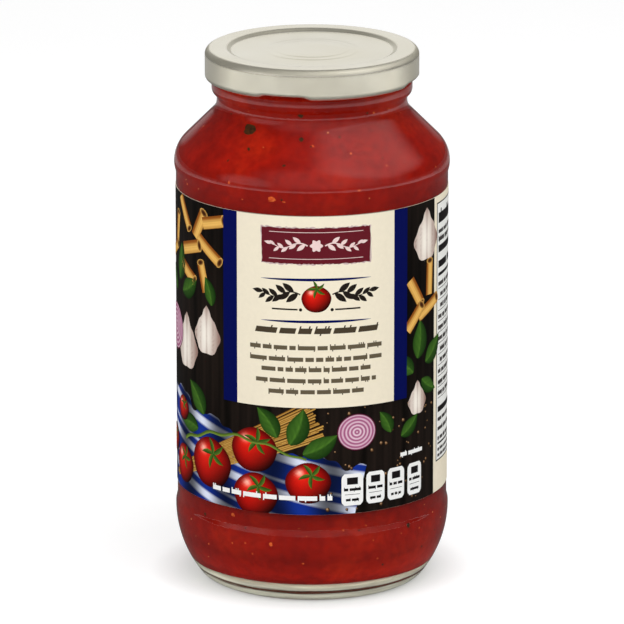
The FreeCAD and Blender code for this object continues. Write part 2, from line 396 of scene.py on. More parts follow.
FLOOR_GLOW = 0.60  # what lifts the floor to white for the camera
# Painted shadow: under the jar the floor's glow drops to this, which darkens the floor there.
PAINTED_SHADOW_GLOW = 0.1
PAINTED_SHADOW_REACH = (0.026, 0.05)  # m from the middle, where the glow starts to rise and where it is full; nearer the middle it stays low, as a painted shadow under the jar
GLOSS_NEAR = 0.04
GLOSS_RING = (0.55, 0.60)  # m from the jar, where gloss starts to show the floor white
GLOSS_RING_END = (0.8, 1.1)
GLOSS_FAR = 0.08
GLOSS_SIDES = (0.45, -0.60)  # Y in m, from behind the jar to its front, for the stops below
GLOSS_STOPS = ((0.0, 0.25), (0.38, 1.0), (0.62, 1.0), (0.9, 0.9))


def floor_material():
    """Pale, and white to the camera and through glass, with a painted shadow: less glow under the jar. Gloss
    shows it dark, with a white ring further out.
    """
    m = Material("pale_floor")
    place = m.place()
    pale = m.grey(m.noise(3, 2), 0.54, 0.56)
    path = m.node("LightPath").outputs
    dim = m.mix("MULTIPLY", path["Is Glossy Ray"], pale, level(0.16))
    m.set(base_color=dim, roughness=0.9, specular_ior_level=0.1)
    away = m.node("VectorMath", {0: place}, operation="LENGTH").outputs["Value"]
    ring = m.math("MULTIPLY", m.fit(away, *GLOSS_RING), m.fit(away, *GLOSS_RING_END, 1.0, GLOSS_FAR))
    forward = m.fit(m.part(place, "Y"), *GLOSS_SIDES)
    front = m.ramp(forward, [(stop, level(value)) for stop, value in GLOSS_STOPS])
    gloss = m.math("MULTIPLY", path["Is Glossy Ray"], m.math("MULTIPLY_ADD", ring, front, GLOSS_NEAR))
    seen = m.math("MAXIMUM", path["Is Camera Ray"], path["Is Transmission Ray"])
    # Painted shadow: the glow is low under the jar and close around it.
    glow_with_painted_shadow = m.fit(away, *PAINTED_SHADOW_REACH, PAINTED_SHADOW_GLOW, FLOOR_GLOW)
    m.set(emission_color=(1, 1, 1, 1), emission_strength=m.math("MULTIPLY_ADD", seen, glow_with_painted_shadow, gloss))
    return m.material


def paper_material():
    m = Material("label_cream")
    m.set(base_color=m.cloud(900, (232, 222, 198), (238, 228, 205)), roughness=0.5, specular_ior_level=0.12)
    return m.material


def ink_material():
    """Print: its colour comes from the mesh's own 'ink' attribute, with a fine printed mottle."""
    m = Material("label_ink")
    ink = m.node("Attribute", attribute_name="ink").outputs["Color"]
    mottle = m.grey(m.noise(700, 3, 0.6), 0.78, 1.15)
    m.set(base_color=m.mix("MULTIPLY", 0.1, ink, mottle), roughness=0.45, specular_ior_level=0.05)
    return m.material


# --- The jar, the sauce and the lid ---
GLASS_SEGMENTS = 360
KNURL_COUNT = 120
KNURL_HEIGHT = 0.14
KNURL_RING = (29.0, 32.5)


def knurl(r, z, a):
    """The stippled ring under the foot: small ribs round the bearing surface."""
    if z < 0.35 and KNURL_RING[0] < r < KNURL_RING[1]:
        z += KNURL_HEIGHT * (0.5 + 0.5 * math.cos(a * KNURL_COUNT))
    return r, z


def make_glass():
    obj = lathe("jar_glass", glass_profile(), GLASS_SEGMENTS, glass_material(), knurl)
    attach(obj, "root")
    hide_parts("jar")


BAND_TOP = 7.2
BAND_FADE = 5.6  # from here up to its top the band grows clear
BAND_BOTTOM = 0.3
BAND_SINK = 0.12  # how far the band lies under the surface of the glass
BAND_INNER = 29.6
BAND_WOBBLE = 0.8  # mm up or down, how unevenly its lines run


def band_material():
    """The foot of the glass as it shows, with painted light: pale, partly the foot's own frosting and partly
    painted light from the floor seen through the glass, with a dark line round it that is a painted
    reflection, and clear at the top.
    """
    m = Material("ground_glass_and_painted_light")
    place = m.place()
    height = m.part(place, "Z")
    streak = m.noise(1.0, 3, 0.6, place, (70, 70, 1300))
    wobble = m.math("MULTIPLY_ADD", streak, 2 * BAND_WOBBLE * MM, -BAND_WOBBLE * MM)
    share = m.fit(m.math("ADD", height, wobble), 0.0, BAND_TOP * MM)
    # pale is partly the frosting and partly painted light; brown is a painted reflection in the glass
    pale, grey, painted_reflection_brown = linear((250, 248, 232)), linear((214, 210, 186)), linear((92, 58, 38))
    colour = m.ramp(share, [
        (0.0, grey), (0.08, pale), (0.36, pale), (0.45, painted_reflection_brown),
        (0.52, painted_reflection_brown), (0.6, pale), (0.85, grey), (1.0, pale),
    ])
    fade = m.fit(height, BAND_FADE * MM, BAND_TOP * MM, 1.0, 0.0)
    cover = m.grey(m.noise(1.0, 2, 0.5, place, (50, 50, 800)), 0.62, 0.96)
    m.set(base_color=colour, roughness=0.5, alpha=m.math("MULTIPLY", fade, cover), specular_ior_level=0.2)
    return m.material


def make_band():
    """A thin skin just under the outer surface of the foot, which carries the foot's painted light and
    painted reflection.
    """
    outer = [(r, z) for r, z in glass_profile() if r > BAND_INNER and z < BAND_TOP]
    points = [(r - BAND_SINK, max(z, BAND_BOTTOM)) for r, z in outer]
    obj = lathe("foot_band", points, GLASS_SEGMENTS, band_material())
    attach(obj, "root")


SAUCE_GROW = 0.12  # how far the sauce reaches into the wall of the glass
SAUCE_SEGMENTS = 180


def wall_place(azimuth, z):
    """A point on the sauce's outside, with its directions outwards and along, to the right.

    The azimuth is in degrees, from the front to the right."""
    points = inner_profile(Profile(0, SAUCE_LEVEL), SAUCE_GROW, SAUCE_LEVEL).points
    for (r0, z0), (r1, z1) in zip(points[1:], points[2:]):
        if z1 <= z <= z0 and z0 > z1:
            r = r0 + (r1 - r0) * (z0 - z) / (z0 - z1)
            length = math.hypot(r1 - r0, z1 - z0)
            slope = ((z0 - z1) / length, (r1 - r0) / length)
            break
    a = math.radians(azimuth) - math.pi / 2
    out = Vector(round_point(slope[0], a, slope[1]))
    return Vector(round_point(r, a, z)), out, Vector((-math.sin(a), math.cos(a), 0))


FLAKE_POINTS = 9
FLAKE_RINGS = ((1.0, -0.35), (0.72, 0.75))  # share of the size, and lift as a share of the thickness


def bits(name, material, places, size, thick, rng):
    """Uneven flakes that lie against the glass. places: (azimuth, height, scale)."""
    points = FLAKE_POINTS
    vertices, faces = [], []
    for azimuth, z, scale in places:
        middle, out, along = wall_place(azimuth, z)
        upward = out.cross(along)
        turn = rng.uniform(0, 2 * math.pi)
        stretch = rng.uniform(0.5, 1.0)
        start = len(vertices)
        reach = size * scale
        for share, lift in FLAKE_RINGS:
            for k in range(points):
                a = 2 * math.pi * k / points
                r = reach * share * (1 + rng.uniform(-0.18, 0.18))
                x, y = r * math.cos(a), r * stretch * math.sin(a)
                x, y = x * math.cos(turn) - y * math.sin(turn), x * math.sin(turn) + y * math.cos(turn)
                vertices.append(middle + along * x + upward * y + out * lift * thick)
        vertices.append(middle + out * thick)
        for k in range(points):
            j = (k + 1) % points
            faces.append((start + k, start + j, start + points + j, start + points + k))
            faces.append((start + points + k, start + points + j, start + 2 * points))
    obj = add_mesh(name, vertices, faces, material)
    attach(obj, "root")


def bit_material(name, dark, light):
    m = Material(name)
    m.set(base_color=m.cloud(900, dark, light, 0.32), roughness=0.55, specular_ior_level=0.05)
    m.bump(m.noise(900, 2), 0.3, 0.0002)
    return m.material


SHOULDER_SHARE = 0.55  # of the scattered bits, the rest is low down
SHOULDER_BITS = (124, 150)  # heights
HEEL_BITS = (11, 29)


def scatter(rng, count, small, large):
    """Places over the bare glass: the shoulder with the neck, and the heel."""
    out = []
    for _ in range(count):
        z = rng.uniform(*SHOULDER_BITS) if rng.random() < SHOULDER_SHARE else rng.uniform(*HEEL_BITS)
        out.append((rng.uniform(-180, 180), z, rng.uniform(small, large)))
    return out


# The bits that stand out: azimuth, height, scale.
HERBS = (
    (-42.3, 144.5, 2.6), (-41.7, 143.9, 2.5), (-36, 139.4, 0.8), (-9, 150.5, 1.2), (-44, 135.8, 0.6),
    (-15, 136.4, 0.75), (-56, 24.4, 0.7), (45, 22, 0.8), (-8, 143, 1.0), (118, 140, 1.6), (-140, 134, 1.2),
    (170, 20, 1.3),
)
PEPPERS = ((-19.4, 127.5, 1.4), (-14, 126.8, 0.7), (-38.7, 26.9, 1.0), (-20, 19.5, 0.9), (12, 24, 0.6))


def make_bits():
    """Herbs, chopped vegetables and seeds that lie against the glass."""
    rng = random.Random(41)
    herb = bit_material("herb", (38, 22, 6), (70, 38, 10))
    bits("herb_flecks", herb, [*HERBS, *scatter(rng, 40, 0.25, 0.6)], 0.85, 0.07, rng)
    pepper = bit_material("vegetable_bits", (170, 52, 16), (214, 104, 44))
    bits("vegetable_bits", pepper, [*PEPPERS, *scatter(rng, 46, 0.25, 0.7)], 0.8, 0.06, rng)
    seed = bit_material("seeds", (205, 112, 60), (232, 150, 92))
    bits("seeds", seed, scatter(rng, 34, 0.4, 1.0), 0.33, 0.06, rng)


def make_sauce():
    """The sauce, with its surface drawn up a little where it meets the glass."""
    p = Profile(0, SAUCE_LEVEL)
    for radius, rise in ((18, 0), (24.5, 0.05), (25.8, 0.25)):
        p.line(radius, SAUCE_LEVEL + rise)
    inner_profile(p, SAUCE_GROW, SAUCE_LEVEL + 0.6)
    obj = lathe("sauce_body", p.points, SAUCE_SEGMENTS, sauce_material())
    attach(obj, "root")
    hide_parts("sauce")


LID_SEGMENTS = 288
LID_RADIUS = 32.48
LID_SHEET = 0.25
LID_CORNER = 2.0
CURL = 1.075  # radius of the rolled lower edge
CURL_TURN = -250  # degrees
LUG_FRONT = -107.5  # degrees, the others follow every 90
LUG_HALF_WIDTH = 13.0  # degrees
LUG_SOFT = 3.0  # degrees more or less, where a lug ends
LUG_RISE = 0.95
LUG_NARROWING = 0.6
CROWN_DEPTH = 0.9
BUTTON_RISE = 0.30
RING_RISE = 0.15


def lug_amount(a):
    """1 in the middle of a lug, 0 away from it, with soft shoulders."""
    degrees = (math.degrees(a) - LUG_FRONT + 45) % 90 - 45
    edge = (LUG_HALF_WIDTH + LUG_SOFT - abs(degrees)) / (2 * LUG_SOFT)
    edge = min(1, max(0, edge))
    return edge * edge * (3 - 2 * edge)


def pinch(r, z, a):
    """Raises and narrows the curl where it is pressed into a lug."""
    reach = 2.2 * CURL
    low = LID_BOTTOM + reach
    if z < low:
        amount = lug_amount(a) * (low - z) / reach
        z += LUG_RISE * amount
        if r < LID_RADIUS - CURL:
            r -= LUG_NARROWING * amount
    return r, z


def lid_top():
    """Across the top: the button with its two rings, the sunk panel, the slope and the crown."""
    height = LID_TOP
    panel = height - CROWN_DEPTH
    button = panel + BUTTON_RISE
    ring = panel + RING_RISE
    p = [(0, button), (5.5, button), (10.6, button), (10.8, button - 0.02), (11.3, ring + 0.02), (11.5, ring)]
    p += [(13.6, ring), (13.8, ring - 0.02), (14.3, panel + 0.02), (14.5, panel)]
    p += [(19.0, panel), (23.6, panel), (24.3, panel + 0.05), (24.8, panel + 0.22), (25.6, panel + 0.68)]
    p += [(26.1, panel + 0.85), (26.8, height), (28.5, height), (30.4, height)]
    return p


def make_lid():
    outer = lid_top()
    p = Profile(*outer[0], step=0.35)
    p.points += outer[1:]
    p.arc(LID_RADIUS - LID_CORNER, LID_TOP - LID_CORNER, LID_CORNER, 90, 0, 6)
    curl_r, curl_z = LID_RADIUS - CURL, LID_BOTTOM + CURL
    p.line(LID_RADIUS, curl_z)
    p.arc(curl_r, curl_z, CURL, 0, CURL_TURN, 14)
    p.arc(curl_r, curl_z, CURL - LID_SHEET, CURL_TURN, 0, 12)
    p.line(LID_RADIUS - LID_SHEET, LID_TOP - LID_CORNER)
    p.arc(LID_RADIUS - LID_CORNER, LID_TOP - LID_CORNER, LID_CORNER - LID_SHEET, 0, 90, 5)
    p.points += [(r, z - LID_SHEET) for r, z in reversed(outer)]
    obj = lathe("lid_shell", p.points, LID_SEGMENTS, metal_material(), pinch)
    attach(obj, "root")
    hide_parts("lid")


# --- The label ---
# s runs along the paper from the middle of the front to the right, t up from the lower edge, both in mm.
INK_STEP = 0.0052  # height of one layer of print above the one below it
CLIP_EDGE = 0.02  # the print ends this far inside the paper's edges
LAP_HALF = 4.0  # half of the overlap at the back
LAP_EDGE = 0.01  # the lap's upper and lower edge lie this far inside the paper's
LAP_LIFT = 0.11
LAP_EDGE_LIFT = 0.005
LAP_COLUMNS = 12
LABEL_SEGMENTS = 360
DISC_POINTS = 40


class Print:
    """Flat shapes in (s, t), bent round the label. A higher layer lies over a lower one."""

    material = None  # the ink, set by make_print

    def __init__(self, name, layer):
        self.name = name
        self.layer = layer
        self.vertices, self.faces, self.colours = [], [], []

    def grid(self, up, across, point):
        """A net of up by across cells. point(v, u), both from 0 to 1, gives (s, t) and the colour there."""
        start, width = len(self.vertices), across + 1
        radius = LABEL_RADIUS + INK_STEP * self.layer
        for i in range(up + 1):
            for j in range(width):
                (s, t), colour = point(i / up, j / across)
                a = s / LABEL_RADIUS - math.pi / 2
                self.vertices.append(round_point(radius, a, LABEL_BOTTOM + t))
                self.colours.append(colour)
        for i in range(up):
            for j in range(across):
                a = start + i * width + j
                self.faces.append((a, a + 1, a + width + 1, a + width))

    def rect(self, s0, t0, s1, t1, colour, step=1.0, slant=0.0):
        """A rectangle in cells no wider than step. Its upper edge is moved by slant times its height."""
        flat = linear(colour)
        self.grid(
            1,
            max(1, math.ceil(abs(s1 - s0) / step)),
            lambda v, u: ((s0 + (s1 - s0) * u + slant * (t1 - t0) * v, t0 + (t1 - t0) * v), flat),
        )

    def disc(self, s, t, outline, rings, shade):
        """A shape about (s, t): outline(angle) is its radius, shade(x, y, rho) its colour."""
        def point(rho, u):
            angle = 2 * math.pi * u
            reach = outline(angle) * max(rho, 0.001)
            x, y = reach * math.cos(angle), reach * math.sin(angle)
            return (s + x, t + y), shade(x, y, rho)
        self.grid(rings, DISC_POINTS, point)

    def strip(self, path, widths, shade, across=4):
        """A ribbon along a path of (s, t) points; shade(u, v) with u along it and v from -1 to 1 across."""
        last = len(path) - 1

        def point(u, side):
            i, v = round(u * last), 2 * side - 1
            (s0, t0), (s1, t1) = path[max(0, i - 1)], path[min(last, i + 1)]
            off = v * widths(u) / 2 / math.hypot(s1 - s0, t1 - t0)
            return (path[i][0] - (t1 - t0) * off, path[i][1] + (s1 - s0) * off), shade(u, v)
        self.grid(last, across, point)

    def done(self):
        obj = add_mesh(self.name, self.vertices, self.faces, self.material, colours=self.colours)
        clip_to_label(obj)
        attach(obj, "root")


def clip_to_label(obj):
    """Cuts the print off at the paper's upper and lower edges."""
    bm = bmesh.new()
    bm.from_mesh(obj.data)
    for height, up in ((LABEL_BOTTOM + CLIP_EDGE, False), (LABEL_TOP - CLIP_EDGE, True)):
        bmesh.ops.bisect_plane(
            bm,
            geom=bm.verts[:] + bm.edges[:] + bm.faces[:],
            plane_co=(0, 0, height * MM),
            plane_no=(0, 0, 1),
            clear_outer=up,
            clear_inner=not up,
        )
    bm.to_mesh(obj.data)
    bm.free()


def make_paper():
    """The sheet itself, with the upper layer of its lap at the back."""
    inner = PANEL_RADIUS + LABEL_GAP
    outer = inner + PAPER
    vertices, faces = [], []
    for r, z in ((inner, LABEL_BOTTOM), (inner, LABEL_TOP), (outer, LABEL_TOP), (outer, LABEL_BOTTOM)):
        vertices += [round_point(r, 2 * math.pi * k / LABEL_SEGMENTS, z) for k in range(LABEL_SEGMENTS)]
    for i in range(4):
        low, high = i * LABEL_SEGMENTS, (i + 1) % 4 * LABEL_SEGMENTS
        for k in range(LABEL_SEGMENTS):
            n = (k + 1) % LABEL_SEGMENTS
            faces.append((low + k, high + k, high + n, low + n))
    start = len(vertices)
    lap_half = LAP_HALF / LABEL_RADIUS
    for k in range(LAP_COLUMNS + 1):
        a = math.pi / 2 - lap_half + 2 * lap_half * k / LAP_COLUMNS
        r = outer + (LAP_LIFT if k else LAP_EDGE_LIFT)
        vertices += [round_point(r, a, z) for z in (LABEL_BOTTOM + LAP_EDGE, LABEL_TOP - LAP_EDGE)]
    for k in range(LAP_COLUMNS):
        a = start + 2 * k
        faces.append((a, a + 2, a + 3, a + 1))
    obj = add_mesh("label_sheet", vertices, faces, paper_material(), smooth=False)
    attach(obj, "root")
    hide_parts("label")


# --- The artwork: colours in sRGB, places in (s, t) ---
CREAM = (235, 225, 202)
NAVY = (2, 10, 78)
MAROON = (97, 26, 36)
PINK = (230, 204, 200)
WHITE = (238, 238, 236)
BLACK = (24, 21, 22)
TYPE = (100, 91, 80)
SMALL_TYPE = (66, 62, 61)
PANEL_TYPE = (96, 86, 68)
FLOWER = (34, 28, 24)

PANEL_HALF = 24.86
STRIPE_HALF = 29.93
PANEL_LOW = 33.7
PANEL_STEP = 0.7  # widest cell of a large plain area
PICTURE_LEFT = -78.0
PICTURE_RIGHT = 44.2


def glow(x, y, cx, cy, spread):
    """A soft spot of light about (cx, cy)."""
    return math.exp(-((x - cx) ** 2 + (y - cy) ** 2) / spread ** 2)


def arm(s, t, angle, reach, steps, bend=0.0):
    """Points from (s, t) outwards. The direction, in radians, turns by bend on the way."""
    path = []
    for i in range(steps + 1):
        u = i / steps
        path.append((s + reach * u * math.cos(angle + bend * u), t + reach * u * math.sin(angle + bend * u)))
    return path


def tomato(ink, s, t, r):
    def outline(a):
        return r * (1 - 0.08 * abs(math.sin(a))) * (1 + 0.012 * math.sin(5 * a))

    def shade(x, y, rho):
        lit = glow(x, y, -0.32 * r, 0.38 * r, 0.5 * r) * 60
        spot = glow(x, y, -0.36 * r, 0.46 * r, 0.17 * r) * 170
        shadow = glow(x, y, 0.55 * r, -0.6 * r, 0.7 * r) * 60
        return linear([
            196 - 118 * rho ** 3 + lit * 0.7 + spot * 0.5 - shadow,
            20 - 18 * rho ** 2 + lit * 0.25 + spot,
            12 - 9 * rho + lit * 0.15 + spot * 0.95,
        ])
    ink.disc(s, t, outline, 9, shade)


def calyx(ink, s, t, size, turn):
    """The five green points on a tomato."""
    def width(u):
        return size * 0.3 * math.sin(math.pi * (0.12 + 0.88 * u)) + 0.05

    for k in range(5):
        path = arm(s, t, turn + 2 * math.pi * k / 5, size, 4, 0.35)
        ink.strip(path, width, lambda u, v: tone((34, 66, 16), (86, 120, 40), 0.5 - 0.5 * v))


def leaf(ink, s, t, length, width, angle):
    """A basil leaf with its rib and veins."""
    def widths(u):
        return width * (math.sin(math.pi * min(1, u + 0.02)) ** 0.75) * (1.15 - 0.4 * u) + 0.05

    def shade(u, v):
        rib = math.exp(-(v / 0.09) ** 2)
        vein = 0.5 + 0.5 * math.cos(26 * (u - 0.35 * abs(v)))
        side = 0.62 if v > 0 else 0.28
        light = side + 0.5 * rib + 0.2 * vein * (1 - abs(v)) - 0.35 * abs(v) ** 3
        return tone((20, 48, 12), (74, 118, 38), light)
    bend = 0.25
    ink.strip(arm(s, t, math.radians(angle) - 0.3 * bend, length, 12, bend), widths, shade, 10)


def penne(ink, s, t, length, width, angle):
    """A ridged tube of pasta about (s, t), with its open end."""
    a = math.radians(angle)
    half_s, half_t = length / 2 * math.cos(a), length / 2 * math.sin(a)

    def shade(u, v):
        return tone((138, 76, 22), (232, 184, 96), 1 - (v + 0.25) ** 2 + 0.12 * math.cos(22 * v))

    def mouth(turn):
        return width / 2 / math.hypot(math.cos(turn - a) / 0.55, math.sin(turn - a))

    def hollow(x, y, rho):
        return tone((62, 28, 8), (222, 172, 88), (rho - 0.55) * 3.2)
    ink.strip(arm(s - half_s, t - half_t, a, length, 8), lambda u: width, shade, 12)
    ink.layer += 0.4
    ink.disc(s + half_s, t + half_t, mouth, 3, hollow)
    ink.layer -= 0.4


def peppercorn(ink, s, t, size, seed):
    rng = random.Random(seed)
    waves = [(rng.uniform(0.05, 0.16), rng.uniform(0, 6.28)) for _ in range(3)]

    def outline(a):
        return size * (1 + sum(w * math.sin((k + 2) * a + p) for k, (w, p) in enumerate(waves)))

    def shade(x, y, rho):
        lit = min(1, 0.35 + glow(x, y, -0.3 * size, 0.35 * size, 0.6 * size) - 0.4 * rho ** 2)
        spot = 120 * glow(x, y, -0.25 * size, 0.4 * size, 0.16 * size)
        return linear([a + (b - a) * lit + spot for a, b in zip((30, 18, 10), (150, 112, 74))])
    ink.disc(s, t, outline, 4, shade)


def garlic(ink, s, t, r):
    def outline(a):
        neck = 0.62 * math.exp(-((a - math.pi / 2) / 0.24) ** 2)
        return r * (0.88 + neck + 0.05 * math.cos(6 * a))

    def shade(x, y, rho):
        bulge = math.cos(x / r * 2.4) * (1 - 0.5 * (y / r) ** 2)
        line = abs(math.sin(7 * math.asin(max(-1, min(1, x / (r * 1.02))))))
        f = 0.45 + 0.5 * bulge - 0.35 * (1 - line) ** 3 - 0.25 * (x / r)
        return tone((150, 122, 112), (250, 244, 232), f)
    ink.disc(s, t, outline, 9, shade)


def onion(ink, s, t, r):
    """Half an onion, cut across its rings."""
    def shade(x, y, rho):
        if rho > 0.93:
            return linear((92, 18, 52))
        ring = 0.5 + 0.5 * math.cos(rho * 34)
        return tone((150, 70, 112), (236, 214, 222), ring * (1.05 - 0.3 * rho))
    ink.disc(s, t, lambda a: r * (0.96 + 0.04 * math.cos(2 * a)), 26, shade)


def spaghetti(ink, s, t, length, count, angle, rng):
    """A bundle of strands about (s, t), spread a little at both ends."""
    a = math.radians(angle)
    for k in range(count):
        off = k / (count - 1) - 0.5
        fan = a + off * 0.16 + rng.uniform(-0.01, 0.01)
        reach = length * rng.uniform(0.93, 1.0)
        shift = rng.uniform(-0.1, 0.1)
        x = s - off * 7.0 * math.sin(a) - reach / 2 * math.cos(fan)
        y = t + off * 7.0 * math.cos(a) - reach / 2 * math.sin(fan)

        def shade(u, v):
            return tone((120, 74, 20), (240, 200, 110), 0.75 - abs(v + 0.2) * 0.8 + shift)
        ink.strip(arm(x, y, fan, reach, 20), lambda u: 0.62, shade, 3)


def word_bars(ink, s0, s1, t, height, colour, rng, centre=True, slant=0.0):
    """A line of plain bars, as long as words are, with a few knobs above and below."""
    def bar(start, end, low, high):
        ink.rect(start + slant * low, t + low, end + slant * low, t + high, colour, 1.2, slant)

    words, s = [], s0
    while s1 - s > height:
        end = min(s1, s + height * rng.uniform(1.1, 4.4))
        if s1 - end < 1.5 * height:
            end = s1
        words.append((s, end))
        s = end + 0.5 * height
    shift = (s0 + s1 - words[0][0] - words[-1][1]) / 2 if centre else 0
    for start, end in words:
        start, end = start + shift, end + shift
        bar(start, end, 0, height)
        place = start
        while place < end - 0.3 * height:
            kind = rng.random()
            if kind < 0.2:
                bar(place, place + 0.26 * height, height, 1.38 * height)
            elif kind > 0.9:
                bar(place, place + 0.26 * height, -0.34 * height, 0)
            place += 0.52 * height


def paragraph(ink, s0, s1, top, lines, pitch, height, short, rng):
    """Lines of small type, pitch apart, with the last one shorter by that much."""
    for k in range(lines):
        word_bars(ink, s0, s1 - short * (k == lines - 1), top - pitch * k, height, TYPE, rng, centre=False)


def tapered_rule(ink, t):
    """A navy rule under or over the title, thin and pale at its ends."""
    half, thick = 16.8, 0.85
    path = arm(-half, t, 0, 2 * half, 24)
    ink.strip(path, lambda u: thick * (0.12 + 0.88 * math.sin(math.pi * u) ** 0.7),
              lambda u, v: tone(CREAM, NAVY, 0.35 + 2.4 * math.sin(math.pi * u)), 2)


def rough_block(ink, s0, t0, s1, t1, colour, rng, roughness=0.16):
    """A block of colour with hand-cut edges."""
    columns, rows = 60, 8

    def jitter():
        return rng.uniform(-roughness, roughness)

    low, high = [], []
    for i in range(columns + 1):
        if i in (0, columns):
            jitter()
        low.append(t0 + jitter())
        high.append(t1 + jitter())
    for _ in range((rows + 1) * (columns + 1)):  # spent, so that the later draws keep their values
        rng.random()
    sides = [(s0 + jitter(), s1 + jitter()) for _ in range(rows + 1)]

    def point(v, u):
        i, row = round(u * columns), round(v * rows)
        s = {0: sides[row][0], columns: sides[row][1]}.get(i, s0 + (s1 - s0) * u)
        return (s, low[i] + (high[i] - low[i]) * v), linear(colour)
    ink.grid(rows, columns, point)


def sprig(ink, s, t, reach, direction, colour, leaves, size, wave):
    """A curved stem with leaves on both sides and one at its tip."""
    def flat(u, v):
        return linear(colour)

    def stem(u):
        return s + direction * reach * u, t + wave * math.sin(2.2 * math.pi * u)

    ink.strip([stem(i / 24) for i in range(25)], lambda u: 0.42 - 0.2 * u, flat, 1)
    for k in range(leaves):
        u = (k + 0.6) / (leaves + 0.3)
        length = size * (1.1 - 0.45 * u)
        path = arm(*stem(u), math.atan2(0.8 if k % 2 else -0.8, direction), length, 8)
        ink.strip(path, lambda w: length * 0.42 * math.sin(math.pi * min(1, w + 0.03)) ** 0.8 + 0.04, flat, 2)
    x, y = stem(1.0)
    path = [(x + direction * size * 0.8 * i / 6, y + 0.5 * i / 6) for i in range(7)]
    ink.strip(path, lambda w: size * 0.34 * math.sin(math.pi * min(1, w + 0.05)) + 0.04, flat, 2)


def dark_ground():
    """Dark upright boards with a fine grain."""
    ground = Print("label_ground", 3)
    board_width = 14.5

    def point(v, u):
        s, t = PICTURE_LEFT + (PICTURE_RIGHT - PICTURE_LEFT) * u, LABEL_HEIGHT * v
        joint = (0.5 + 0.5 * math.cos(2 * math.pi * (s + 0.35 * math.sin(0.2 * t)) / board_width)) ** 24
        grain = math.sin(2.3 * s + 0.6 * math.sin(0.11 * t)) * math.sin(0.9 * s + 0.05 * t)
        f = 0.42 + 0.25 * math.sin(0.06 * t + 0.5 * math.floor(s / board_width)) + 0.22 * grain
        return (s, t), tone((8, 6, 4), (38, 29, 24), f * (1 - 0.85 * joint))
    ground.grid(24, 170, point)
    ground.done()


def striped_cloth():
    """A blue cloth with pale stripes, laid askew across the lower left."""
    cloth = Print("label_cloth", 5)
    c, d = math.cos(math.radians(-14)), math.sin(math.radians(-14))

    def point(v, u):
        x, y = -40 + 78 * u, -24 + 44 * v
        fold = 0.5 + 0.5 * math.sin(0.34 * x + 0.12 * y + 0.4 * math.sin(0.3 * y))
        stripe = (y + 40) % 11
        pale = 1 if stripe < 2.3 else 0.9 if 4.6 < stripe < 5.3 else 0
        blue = [n + (w - n) * pale for n, w in zip((16, 44, 132), (206, 212, 230))]
        hem = 19 + 1.5 * math.sin(0.35 * x) + 0.8 * math.sin(0.9 * x + 1)
        y = min(y, hem) if y > 0 else y
        return (-26 + x * c - y * d, 5 + x * d + y * c), linear([n * (0.40 + 0.66 * fold) for n in blue])
    cloth.grid(56, 100, point)
    cloth.done()


LEAVES = (  # s, t, length, width, angle in degrees
    (-8, 22, 12, 7, 60), (-4, 19, 12, 6.5, 20), (-12, 24, 11, 6, 115), (-39, 27, 12, 7, 120),
    (-42, 22, 11, 6, 170), (-55, 66, 12, 7, 70), (-52, 63, 11, 6.5, 20), (-58, 62, 10, 6, 130),
    (35, 45, 12, 7, 75), (39, 43, 11, 6.5, 30), (33, 41, 10, 6, 140), (37, 38, 9, 5, -40),
    (28, 22, 9, 5, 30), (24, 24, 8, 4.5, 110), (-35, 62, 9, 5, 100),
)
VINE = (  # s, t, radius, turn of the calyx in radians
    (-36, 12.5, 8.6, 0.3), (-19.5, 19.5, 7.6, 1.2), (-19, 5.5, 7.4, 2.0), (-2.5, 10, 7.0, 0.6),
    (-51.5, 8.5, 6.6, 0.9), (-52, 26, 4.2, 1.5), (-62, 14, 5.0, 0.2),
)
GARLIC = ((-37.5, 52, 6.6), (-49, 46, 7.6), (39.5, 81, 7.0), (35, 31.5, 4.6))  # s, t, radius
DRY_PASTA = (  # s, t, angle in degrees
    (-41, 86, 60), (-36.5, 79, -25), (-46, 78, 20), (-39, 70, 100), (-50, 88, -50), (-57, 82, 75),
    (-34.5, 88, 15), (-48, 70, -20), (-62, 74, 30), (34, 66, -65), (40.5, 60, 15), (33.5, 58, 40),
    (41, 69, 80),
)


def print_picture():
    """Vine tomatoes on a cloth at the lower left; dry pasta, garlic, onion and basil round the panel."""
    rng = random.Random(11)
    dark_ground()
    striped_cloth()

    strands = Print("label_spaghetti", 10)
    spaghetti(strands, -29, 17, 66, 17, 24, rng)
    strands.done()

    roots = Print("label_garlic", 12)
    for s, t, r in GARLIC:
        garlic(roots, s, t, r)
        roots.layer += 2
    onion(roots, -60, 50, 8.0)
    onion(roots, 12.5, 25.5, 6.2)
    roots.done()

    pasta = Print("label_pasta", 12)
    for s, t, angle in DRY_PASTA:
        penne(pasta, s, t, rng.uniform(9.0, 11.5), rng.uniform(3.4, 4.1), angle + rng.uniform(-8, 8))
        pasta.layer += 0.8
    pasta.done()

    leaves = Print("label_leaves", 14)
    for basil in LEAVES:
        leaf(leaves, *basil)
        leaves.layer += 0.7
    leaves.done()

    fruit = Print("label_tomatoes", 22)
    for s, t, r, turn in VINE:
        tomato(fruit, s, t, r)
        fruit.layer += 1
        calyx(fruit, s + 0.15 * r, t + 0.35 * r, r * 0.6, turn)
        fruit.layer += 0.5
    stem = []
    for i in range(31):
        stem.append((-50 + 47 * i / 30, 17 + 6 * math.sin(math.pi * i / 30) + 0.5 * math.sin(0.9 * i)))
    fruit.strip(stem, lambda u: 1.1 - 0.4 * u, lambda u, v: tone((40, 62, 16), (112, 138, 52), 0.7 - 0.5 * v))
    fruit.done()

    specks = Print("label_peppercorns", 11)
    for k in range(70):
        s, t = rng.uniform(2, 43), rng.uniform(1, 33)
        peppercorn(specks, s, t, rng.uniform(0.25, 0.7), 100 + k)
    specks.done()


BADGES = ((7.6, 14.4), (15.4, 21.6), (22.7, 29.0), (30.4, 36.6))
BADGE_LOW, BADGE_TOP = 2.6, 12.6


